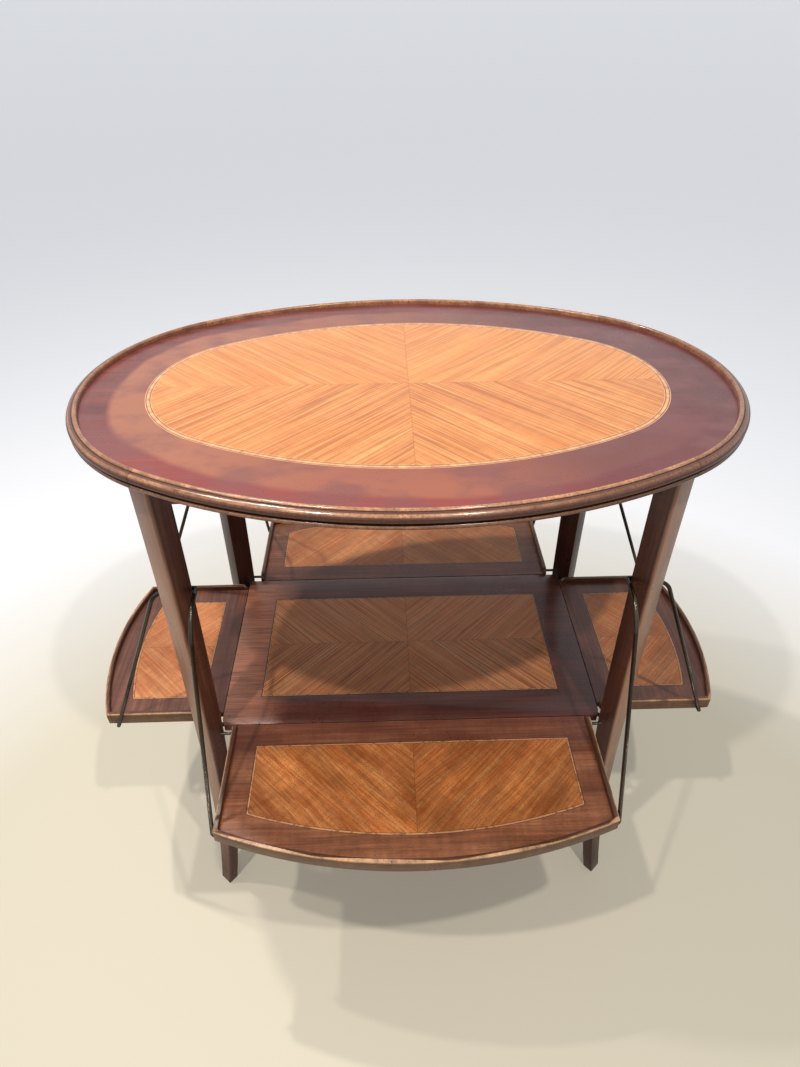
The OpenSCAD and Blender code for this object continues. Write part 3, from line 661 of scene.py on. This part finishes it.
def mirrored(piece, across_x, across_y):
    """A copy of a piece, with its own mesh, mirrored across the table's middle."""
    twin = piece.copy()
    twin.data = piece.data.copy()
    bpy.context.scene.collection.objects.link(twin)
    twin.data.transform(Matrix.Diagonal((-1 if across_x else 1, -1 if across_y else 1, 1, 1)))
    if across_x != across_y:
        twin.data.flip_normals()
    return twin


# %% [markdown]
# ## Sweeping a section
#
# The moulding and the banding keep one section all along an arc of the oval. A section starts as a circle with
# a point for each of its corners, and the points are moved into place at the arc's start. Spin then sweeps it
# round the arc's centre, and its two ends are closed. A small gap at each end keeps a joint visible.

# %% Helper that sweeps a section along an arc
ARC_STEPS = 72


def sweep(section, centre, radius, start, turn, gap=0.0):
    """Sweeps a closed section round a centre. A section point is a depth inside the radius and a height."""
    start += gap / radius
    turn -= 2 * gap / radius
    bpy.ops.mesh.primitive_circle_add(vertices=len(section), fill_type="NOTHING")
    piece = bpy.context.object
    outward = Vector((math.cos(start), math.sin(start), 0))
    for vertex, (depth, height) in zip(piece.data.vertices, section):
        vertex.co = centre + outward * (radius - depth) + Vector((0, 0, height))
    bpy.ops.object.mode_set(mode="EDIT")
    bpy.ops.mesh.select_all(action="SELECT")
    # With no window, spin turns the other way round, so its angle is negative
    bpy.ops.mesh.spin(steps=ARC_STEPS, angle=-turn, center=centre, axis=(0, 0, 1))
    bpy.ops.mesh.select_all(action="SELECT")
    bpy.ops.mesh.fill_holes(sides=0)
    bpy.ops.mesh.normals_make_consistent(inside=False)
    bpy.ops.object.mode_set(mode="OBJECT")
    return piece


def arc_grain(centre, radius):
    """Grain that follows an arc: along it, across it, and up."""
    def grain(point):
        flat = point - centre
        angle = math.atan2(flat.y, flat.x) % (2 * math.pi)
        return (angle * radius, math.hypot(flat.x, flat.y) - radius, point.z)
    return grain


print("an arc is swept in", ARC_STEPS, "steps")

# %% [markdown]
# ## The top's moulding
#
# A moulding keeps the cups on the tray. Its section has a bead at the top, a narrow sunk line beside it, a
# rounded side, a deep groove and a small lower lip. The section is drawn point by point, as a cutter for a
# spindle moulder would be ground, and swept along each arc. Wear and dirt, with painted highlight and shade,
# belong to places on the section: the bead's crown, the top of the rounded side and the lip are pale, as wear
# and a painted highlight; the sunk line and the joints hold dirt; the groove is dark with dirt and painted
# shade; and the foot of the side is painted shade. The front length is palest, and the side and the lip are
# less pale to the right.

# %% The moulding's section
tray_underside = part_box("top_mould_front")[0].z


def round_points(depth, height, radius, start, end, count):
    """Points on part of a circle in the section, by angles in degrees from straight outwards."""
    angles = [math.radians(start + (end - start) * i / (count - 1)) for i in range(count)]
    return [(depth - radius * math.cos(a), height + radius * math.sin(a)) for a in angles]


lower_lip = round_points(3.1, 2.3, 2.3, -90, 90, 9)
groove = [(4.0, 4.7), (4.0, 7.5), (0.75, 7.6)]
rounded_side = round_points(6.3, 9.3, 6.0, -14, 88, 14)
sunk_line = [(6.8, 14.8), (7.0, 14.7), (7.2, 15.0)]
bead = round_points(9.5, 14.5, 2.5, 20, 180, 13)
section_mm = lower_lip + groove + rounded_side + sunk_line + bead + [(12.0, 0.0)]
section = [(depth * MM, tray_underside + height * MM) for depth, height in section_mm]
print("the moulding's section has", len(section), "points")


# %% Where the moulding is worn and dirty, and where highlight and shade are painted
# A band: its strength, and the heights and the depths that it lies between, in millimetres
# Wear and a painted highlight on the bead's crown
crown = [(1.0, 15.6, 18, 7.4, 13), (1.0, 14.4, 18, 11, 13)]
# Wear and a painted highlight on the top of the rounded side and on the lip
side_and_lip = [(0.85, 13.0, 14.9, -1, 4.2), (0.55, -1, 4.0, -1, 1.8)]
# Dirt in the sunk line, dirt and painted shade in the groove, and painted shade at the foot of the side
line_groove_and_foot = [(0.6, 14.6, 15.5, 4.2, 7.4), (0.5, 4.65, 7.7, 0.6, 13), (0.5, 7.55, 11.5, -1, 1.2)]
JOINT_DIRT = 0.8
wear_and_highlight_share = {"front": 1.0, "back": 0.8, "left": 0.5, "right": 0.5}


def strength_at(point, centre, radius, bands):
    """The strength of the strongest band that a point of the moulding lies in, or 0."""
    depth = (radius - math.hypot(point.x - centre.x, point.y - centre.y)) / MM
    height = (point.z - tray_underside) / MM
    return max([strength for strength, low, high, near, far in bands
                if low < height < high and near < depth < far], default=0.0)


def moulding_wear_and_highlight(centre, radius, share):
    def wear(point):
        # The side's pale, wear with a painted highlight, fades towards the right
        less_right = min(max((220 * MM - point.x) / (200 * MM), 0.15), 1)
        side = strength_at(point, centre, radius, side_and_lip)
        return share * max(strength_at(point, centre, radius, crown), less_right * side)
    return wear


def moulding_dirt_and_shade(centre, radius):
    def dirt_and_shade(point):
        if abs(abs(point.x) - joint_x) < 0.6 * MM:
            return JOINT_DIRT
        return strength_at(point, centre, radius, line_groove_and_foot)
    return dirt_and_shade


print("the ends are rubbed", wear_and_highlight_share["left"], "times as much as the front")

# %% Sweep the four mouldings
for side, (centre, radius, start, turn) in arcs.items():
    piece = sweep(section, centre, radius, start, turn, gap=0.25 * MM)
    dress(piece, f"moulding_{side}", f"top_mould_{side}", moulding_mahogany, arc_grain(centre, radius),
          moulding_wear_and_highlight(centre, radius, wear_and_highlight_share[side]), moulding_dirt_and_shade(centre, radius))
    print(piece.name, len(piece.data.polygons), "faces")

# %% [markdown]
# ## The top's banding
#
# The banding is bought as a flexible strip and bent round the oval inlay. It is swept along the same four
# arcs with a flat section, and the four lengths are joined into one piece. Each point carries how far it
# lies along the band and across it, so the lines of the banding follow the oval.

# %% The banding round the oval inlay
low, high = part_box("top_string")
band_depth = half_length - high.x
band_width = 6.5 * MM
outer, inner = band_depth, band_depth + band_width
band_section = [(outer, low.z), (outer, high.z), (inner, high.z), (inner, low.z)]
lengths = []
for centre, radius, start, turn in arcs.values():
    piece = sweep(band_section, centre, radius, start, turn)
    carry(piece, "grain", arc_grain(centre, radius - band_depth - band_width / 2))
    lengths.append(piece)
bpy.ops.object.select_all(action="DESELECT")
for piece in lengths:
    piece.select_set(True)
bpy.context.view_layer.objects.active = lengths[0]
bpy.ops.object.join()
dress(lengths[0], "top_banding", "top_string", top_stringing)
print("banding", round(band_width / MM, 1), "mm wide")

# %% [markdown]
# ## The legs
#
# Each leg is one splayed, tapered post, turned to face its corner, with a kick outwards near the floor. It
# starts as a plane of the foot's size and is extruded upwards in short lifts. Each lift is moved along the
# leg's curved centre line and scaled to the section there. Then the sharp edges are bevelled, because a hand
# plane always takes the arris off. One leg is made and the four posts are its mirrored copies.

# %% The leg's centre line and section
leg_x, leg_y = 254.9 * MM, 141.7 * MM
lean, kick = 19 * MM, 19.5 * MM
leg_turn = math.radians(42)
leg_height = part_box("leg_back_right")[1].z
shelf_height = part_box("shelf_panel")[1].z
facing = Vector((math.sin(leg_turn), math.cos(leg_turn), 0))


def leg_centre(height):
    """The middle of the leg at a height. The sixth power keeps the kick near the floor."""
    down = 1 - height / leg_height
    return Vector((leg_x, leg_y, height)) + facing * (lean * down ** 2 + kick * down ** 6)


def leg_size(height, foot, middle, top):
    if height > shelf_height:
        return (middle + (top - middle) * (height - shelf_height) / (leg_height - shelf_height)) * MM
    return (foot + (middle - foot) * height / shelf_height) * MM


def leg_section(height):
    """The leg's width and depth at a height."""
    return leg_size(height, 19.4, 28.6, 30.4), leg_size(height, 14.9, 23.2, 24.7)


print("the foot stands", round((lean + kick) / MM, 1), "mm further out than the leg's top")

# %% Extrude one leg upwards
lifts = 24
width, depth = leg_section(0)
bpy.ops.mesh.primitive_plane_add(size=1)
leg = bpy.context.object
bpy.ops.object.mode_set(mode="EDIT")
bpy.ops.mesh.select_all(action="SELECT")
bpy.ops.transform.resize(value=(width, depth, 1), center_override=(0, 0, 0))
for lift in range(lifts):
    below, above = leg_height * lift / lifts, leg_height * (lift + 1) / lifts
    step = leg_centre(above) - leg_centre(below)
    out = step.dot(facing)
    bpy.ops.mesh.extrude_region_move(TRANSFORM_OT_translate={"value": (0, out, step.z)})
    new_width, new_depth = leg_section(above)
    middle = (0, (leg_centre(above) - leg_centre(0)).dot(facing), above)
    bpy.ops.transform.resize(value=(new_width / width, new_depth / depth, 1), center_override=middle)
    width, depth = new_width, new_depth
bpy.ops.mesh.select_all(action="SELECT")
bpy.ops.mesh.normals_make_consistent(inside=False)
bpy.ops.object.mode_set(mode="OBJECT")
print("leg", [round(c / MM, 1) for c in leg.dimensions])

# %% Bevel the leg's edges and put it at its corner
SHARP = math.radians(60)
bpy.ops.object.mode_set(mode="EDIT")
bpy.ops.mesh.select_mode(type="EDGE")
bpy.ops.mesh.select_all(action="DESELECT")
mesh = bmesh.from_edit_mesh(leg.data)
for edge in mesh.edges:
    edge.select_set(len(edge.link_faces) == 2 and edge.calc_face_angle() > SHARP)
bmesh.update_edit_mesh(leg.data)
bpy.ops.mesh.bevel(offset=1.1 * MM, segments=3, profile=0.5, affect="EDGES")
bpy.ops.mesh.select_mode(type="VERT")
bpy.ops.object.mode_set(mode="OBJECT")
leg.data.transform(Matrix.Translation(leg_centre(0)) @ Matrix.Rotation(-leg_turn, 4, "Z"))
print("the leg has", len(leg.data.polygons), "faces")


# %% Copy the leg to the four corners
def leg_grain(across_x, across_y):
    """Grain that runs up a leg, with its own place in the wood for each leg."""
    sign = Vector((-1 if across_x else 1, -1 if across_y else 1, 1))
    shift = 0.9 * across_x + 0.5 * across_y
    sideways = Vector((facing.y, -facing.x, 0))

    def grain(point):
        own = Vector((point.x * sign.x, point.y * sign.y, point.z))
        off = own - leg_centre(own.z)
        return (own.z + shift, off.dot(sideways) + shift, off.dot(facing))
    return grain


for name, across_x, across_y in (("back_right", False, False), ("back_left", True, False),
                                 ("front_right", False, True), ("front_left", True, True)):
    post = mirrored(leg, across_x, across_y)
    dress(post, f"post_{name}", f"leg_{name}", leg_mahogany, leg_grain(across_x, across_y), smooth=25)
bpy.data.objects.remove(leg)
print("four legs")

# %% [markdown]
# ## Rims, lips, shelf and stays
#
# These pieces already have the right shape in the construction, down to their hook grooves. A copy of each is
# cleaned: its loose triangles are merged and flat ones dissolved into whole faces. Then its sharp edges are
# rounded a little, as glasspaper leaves them. The stays and the thin lines are only merged. The rims and lips
# carry how far out a point lies, because their outer side is the one that hands and cloths rub, and the one
# that gets a painted highlight along its top edge.

# %% Helper that copies a node as a clean piece
def clean_copy(node, bevel=0.0):
    """A copy of a node with its triangles merged and, with a bevel, its faces whole and its edges rounded."""
    piece = nodes[node].copy()
    piece.data = nodes[node].data.copy()
    bpy.context.scene.collection.objects.link(piece)
    for label in [key for key in piece.keys() if key.startswith("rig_")]:
        del piece[label]
    piece.parent = None
    bpy.ops.object.select_all(action="DESELECT")
    piece.select_set(True)
    bpy.context.view_layer.objects.active = piece
    bpy.ops.object.mode_set(mode="EDIT")
    bpy.ops.mesh.select_all(action="SELECT")
    bpy.ops.mesh.remove_doubles(threshold=0.01 * MM)
    if bevel:
        bpy.ops.mesh.dissolve_limited(angle_limit=math.radians(1))
    bpy.ops.object.mode_set(mode="OBJECT")
    if bevel:
        modifier = piece.modifiers.new("rounded edges", "BEVEL")
        modifier.width = bevel
        modifier.segments = 2
        modifier.limit_method = "ANGLE"
        modifier.angle_limit = math.radians(50)
        bpy.ops.object.modifier_apply(modifier=modifier.name)
    return piece


print("ready to copy", len(nodes), "nodes")

# %% Rims and lips of the four flaps
low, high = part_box("flap_front_rim_right")
rim_width = high.x - low.x
panel_low, panel_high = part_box("flap_front_panel")
panel_middle = (panel_low.z + panel_high.z) / 2


def outer_wear_and_highlight(panel):
    """How far out from its flap's panel a point lies, from 0 at the panel to 1 at one rim's width."""
    def wear(point):
        level = Vector((point.x, point.y, panel_middle))
        nearest = panel.closest_point_on_mesh(level)[1]
        return min((nearest - level).length / rim_width, 1.0)
    return wear


def straight_grain(runs_along_x, shift):
    """Grain that runs along X or along Y, from its own place in the wood for each piece."""
    def grain(point):
        along, across = (point.x, point.y) if runs_along_x else (point.y, point.x)
        return (along, across + shift, point.z)
    return grain


flap_sides = {"front": ("left", "right"), "back": ("left", "right"), "left": ("front", "back"),
              "right": ("front", "back")}
for flap, ends in flap_sides.items():
    # Wear with a painted highlight along the outer top edge, by how far out a point lies
    wear = outer_wear_and_highlight(nodes[f"flap_{flap}_panel"])
    for part in ["lip"] + [f"rim_{end}" for end in ends]:
        node = f"flap_{flap}_{part}"
        runs_along_x = (flap in ("front", "back")) == (part == "lip")
        grain = straight_grain(runs_along_x, 0.1 * len(node))
        dress(clean_copy(node, 0.7 * MM), f"{flap}_{part}", node, rim_mahogany, grain, wear)
print("twelve rims and lips, rims", round(rim_width / MM, 1), "mm wide")

# %% [markdown]
# ## The lines round the lower inlays
#
# The lines turn corners and follow bowed edges, so a material can't find a line's middle from its place. Each
# point therefore carries its distance from the inlay, by which the pale line gets its dark edges.

# %% The lines round the lower inlays
def from_inlay(inlay):
    """How far a point lies from an inlay, in millimetres, which is nothing at the line's inner edge."""
    def inward(point):
        nearest = inlay.closest_point_on_mesh(point)[1]
        return (nearest - point).length / MM
    return inward


for name in ["shelf"] + [f"flap_{flap}" for flap in flap_sides]:
    line = clean_copy(f"{name}_string")
    reach = carry(line, "inward", from_inlay(nodes[f"{name}_field"]))
    dress(line, f"line_{name}", f"{name}_string", lower_stringing)
    print(line.name, "is", round(max(reach), 1), "mm wide")

# %% Shelf and stays
dress(clean_copy("shelf_panel", 0.6 * MM), "shelf_board", "shelf_panel", shelf_mahogany)
for flap, ends in flap_sides.items():
    for end in ends:
        dress(clean_copy(f"stay_{flap}_{end}"), f"wire_{flap}_{end}", f"stay_{flap}_{end}", blackened_wire)
print("shelf and eight stays")

# %% [markdown]
# ## Finishes for the construction's own pieces
#
# Flat panels, inlays, rails, pins and screws are right as they are. They keep their meshes and only get a
# finish, chosen by their names.

# %% Give the remaining nodes their finish
finishes = {
    "top_panel": top_mahogany, "top_field": top_satinwood, "shelf_field": shelf_satinwood,
    "shelf_dowels": black_dowel, "rail_screws": bright_pin,
}
for side in ("front", "back", "left", "right"):
    finishes[f"rail_{side}"] = rail_mahogany
    finishes[f"hinge_pins_{side}"] = bright_pin
    finishes[f"flap_{side}_panel"] = flap_mahogany if side in ("front", "back") else side_mahogany
    finishes[f"flap_{side}_field"] = flap_satinwood if side == "front" else side_satinwood
for node, material in finishes.items():
    nodes[node].data.materials.clear()
    nodes[node].data.materials.append(material)
print(len(finishes), "nodes finished")

# %% [markdown]
# ## Floor and light
#
# The table stands on a plain pale floor, warm near the viewer and cooler behind the table. The floor is lifted
# a little for the camera alone, which makes it pale without more light on the table. Four small warm lamps hang
# over it as a ceiling's lamps would, so the top's shadow falls on the shelf in arcs and the light reaches the
# shelf's corners past its edge. The pale surroundings fill the shadows. The camera, mirrors and glass see them
# plain and nearly white, while the light that they cast stays modest.

# %% Floor
bpy.ops.object.select_all(action="DESELECT")
bpy.ops.mesh.primitive_plane_add(size=400)
floor = bpy.context.object
floor.name = "floor"
material, tree = start_material("pale floor")
warm_middle = (0, -0.45, 0)
warm_reach, cool_reach = 0.80, 1.40
away = put(tree, "ShaderNodeVectorMath", {0: object_place(tree), 1: warm_middle}, operation="DISTANCE")
far = ramp(tree, away.outputs["Value"], warm_reach, cool_reach)
tone = tint(tree, far, screen(219, 211, 191), screen(234, 235, 239))
shader = put(tree, "ShaderNodeBsdfPrincipled", {
    "Base Color": tone, "Roughness": 0.6, "Specular IOR Level": 0.2, "Emission Color": tone})
rays = tree.nodes.new("ShaderNodeLightPath").outputs
lift = calc(tree, "MULTIPLY", rays["Is Camera Ray"], ramp(tree, far, 0, 1, 0.22, 0.44))
tree.links.new(lift, shader.inputs["Emission Strength"])
output = tree.nodes.new("ShaderNodeOutputMaterial")
tree.links.new(shader.outputs[0], output.inputs[0])
floor.data.materials.append(material)
print("the floor is", round(floor.dimensions.x), "m wide")

# %% Lamps
LAMP_HEIGHT = 2.22
LAMP_SIZE = 50 * MM
WARM = (1.0, 0.955, 0.89)
table_middle = Vector((0, 0, 0.5))
# A lamp's place in X and Y, and its power
lamps = {"front_left": (-0.54, -0.69, 12.0), "front_right": (0.39, -0.78, 11.5), "left": (-0.96, 0.09, 8.0),
         "back": (-0.6, 0.28, 12.0)}
for name, (x, y, power) in lamps.items():
    data = bpy.data.lights.new(f"lamp_{name}", "AREA")
    data.shape = "SQUARE"
    data.size = LAMP_SIZE
    data.energy = power
    data.color = WARM
    light = bpy.data.objects.new(f"lamp_{name}", data)
    bpy.context.scene.collection.objects.link(light)
    light.location = (x, y, LAMP_HEIGHT)
    aim = table_middle - light.location
    light.rotation_euler = aim.to_track_quat("-Z", "Y").to_euler()
print(len(lamps), "lamps at", LAMP_HEIGHT, "m")

# %% Surroundings
world = bpy.data.worlds.new("surroundings")
bpy.context.scene.world = world
world.use_nodes = True
tree = world.node_tree
tree.nodes.clear()
rays = tree.nodes.new("ShaderNodeLightPath").outputs
seen = calc(tree, "MAXIMUM", rays["Is Camera Ray"], rays["Is Glossy Ray"])
seen = calc(tree, "MAXIMUM", seen, rays["Is Transmission Ray"])
strength = ramp(tree, seen, 0, 1, 0.30, 1.0)
background = put(tree, "ShaderNodeBackground", {"Color": (0.93, 0.96, 1.0, 1.0), "Strength": strength})
output = tree.nodes.new("ShaderNodeOutputWorld")
tree.links.new(background.outputs[0], output.inputs[0])
bpy.context.scene.view_settings.view_transform = "Standard"
print("pale surroundings")
